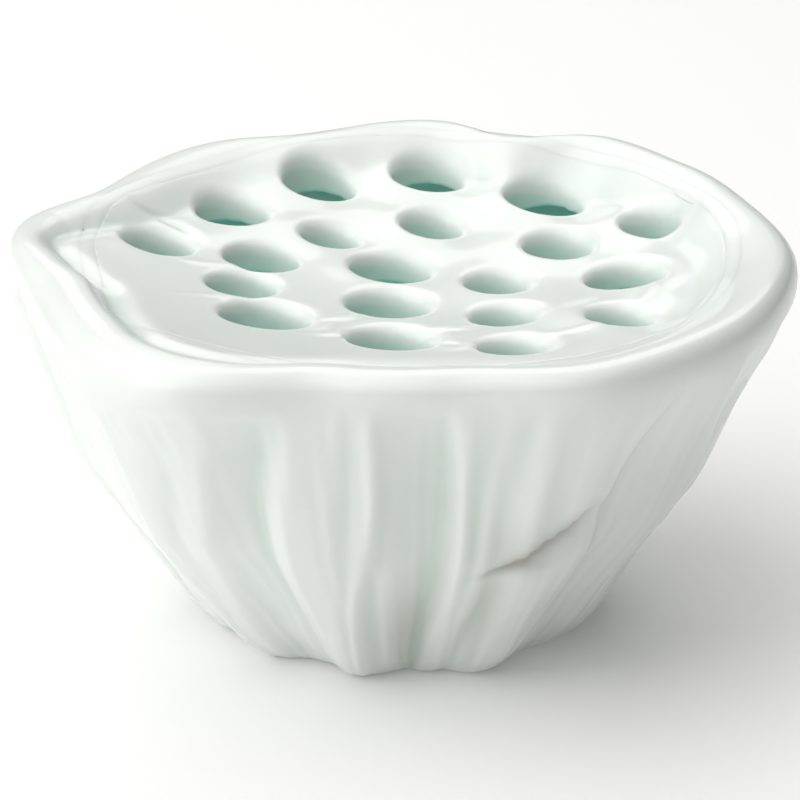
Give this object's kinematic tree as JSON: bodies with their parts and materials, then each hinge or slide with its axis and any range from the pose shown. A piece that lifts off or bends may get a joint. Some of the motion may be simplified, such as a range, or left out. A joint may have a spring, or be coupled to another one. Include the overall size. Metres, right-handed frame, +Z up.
{
  "type": "flower frog",
  "caption": "Lotus seed-pod flower frog: a hollow, fluted ceramic cup with a rolled lip, closed by a dished plate pierced with upright stem holes over a water well.",
  "frame": {"origin": "on the table, under the middle of the pod's plan", "axes": "+Z up; the large corner lobe of the lip lies towards -X and -Y, and the low side of the lip towards -Y"},
  "size_m": [0.1158, 0.1122, 0.06],
  "materials": {
    "pale_celadon": "gloss",
    "seam_celadon": "gloss",
    "teal_celadon": "gloss"
  },
  "bodies": {
    "root": {"pod_cup": "pale_celadon", "seed_plate": "pale_celadon", "slip_seam": "seam_celadon", "well_glaze": "teal_celadon"}
  },
  "joints": []
}
